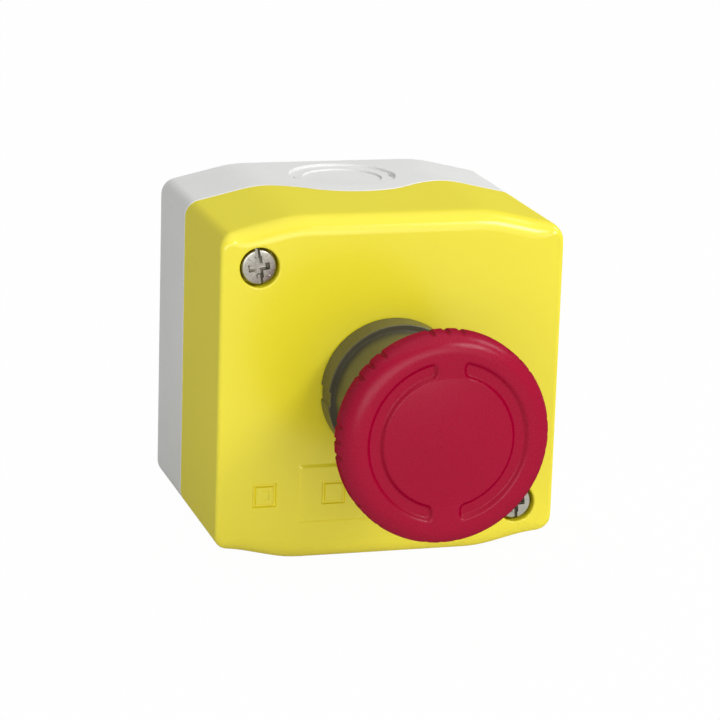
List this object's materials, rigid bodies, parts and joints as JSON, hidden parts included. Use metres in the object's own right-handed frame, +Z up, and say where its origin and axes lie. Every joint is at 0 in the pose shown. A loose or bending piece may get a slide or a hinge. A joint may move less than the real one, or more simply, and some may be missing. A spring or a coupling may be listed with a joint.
{
  "type": "emergency stop control station",
  "caption": "Wall-mounted control box with a yellow screwed lid and a red turn-to-release mushroom head that opens the contacts inside when pushed.",
  "frame": {"origin": "middle of the rear mounting face", "axes": "+Y out of the rear face into the wall, the lid faces -Y, +Z up, X across the box"},
  "size_m": [0.068, 0.091, 0.068],
  "materials": {
    "grey_plastic": "light grey moulded plastic, satin",
    "yellow_plastic": "yellow moulded plastic, semi-gloss",
    "red_plastic": "red moulded plastic, satin",
    "dark_plastic": "dark grey moulded plastic, satin",
    "black_plastic": "black moulded plastic",
    "key_plastic": "red moulded plastic",
    "black_rubber": "black rubber",
    "zinc_steel": "zinc-plated steel",
    "spring_steel": "bright steel",
    "contact_brass": "silvered brass"
  },
  "bodies": {
    "base": {"enclosure_base": "grey_plastic", "contact_block_left": "black_plastic", "contact_block_right": "black_plastic", "contact_spring_left": "spring_steel", "contact_spring_right": "spring_steel", "fixed_contacts_left": "contact_brass", "fixed_contacts_right": "contact_brass", "terminal_clamps_left": "zinc_steel", "terminal_clamps_right": "zinc_steel", "terminal_screws_left": "zinc_steel", "terminal_screws_right": "zinc_steel"},
    "lid": {"lid": "yellow_plastic", "lid_gasket": "black_rubber", "screw_seals": "black_rubber", "head_bezel": "dark_plastic", "bezel_seal": "black_rubber", "fixing_nut": "black_plastic", "latch_ring": "spring_steel", "head_return_spring": "spring_steel"},
    "screw_upper": {"lid_screw_upper": "zinc_steel"},
    "screw_lower": {"lid_screw_lower": "zinc_steel"},
    "plunger": {"head_plunger": "black_plastic", "actuator_foot": "black_plastic", "latch_balls": "spring_steel"},
    "mushroom": {"mushroom_cap": "red_plastic", "release_stem": "zinc_steel", "stem_clip": "spring_steel"},
    "contact_left": {"contact_plunger_left": "key_plastic", "contact_bridge_left": "contact_brass"},
    "contact_right": {"contact_plunger_right": "key_plastic", "contact_bridge_right": "contact_brass"}
  },
  "joints": [
    {"name": "lid_lift", "type": "slide", "parent": "base", "child": "lid", "axis": [0, -1, 0], "range_m": [0, 0.06]},
    {"name": "screw_upper_turn", "type": "hinge", "parent": "lid", "child": "screw_upper", "pos_m": [-0.0264, -0.049, 0.0246], "axis": [0, 1, 0], "continuous": true},
    {"name": "screw_lower_turn", "type": "hinge", "parent": "lid", "child": "screw_lower", "pos_m": [0.0264, -0.049, -0.0246], "axis": [0, 1, 0], "continuous": true},
    {"name": "head_push", "type": "slide", "parent": "lid", "child": "plunger", "axis": [0, 1, 0], "range_m": [0, 0.0055], "deforming": ["head_return_spring"]},
    {"name": "release_twist", "type": "hinge", "parent": "plunger", "child": "mushroom", "pos_m": [0, -0.07, 0], "axis": [0, 1, 0], "range_deg": [0, 30], "stiffness_Nm_per_rad": 0.02},
    {"name": "contact_left_push", "type": "slide", "parent": "base", "child": "contact_left", "axis": [0, 1, 0], "range_m": [0, 0.0055], "deforming": ["contact_spring_left"]},
    {"name": "contact_right_push", "type": "slide", "parent": "base", "child": "contact_right", "axis": [0, 1, 0], "range_m": [0, 0.0055], "deforming": ["contact_spring_right"]}
  ],
  "couplings": [
    {"joint": "contact_left_push", "follows": "head_push", "ratio": 1},
    {"joint": "contact_right_push", "follows": "head_push", "ratio": 1}
  ]
}
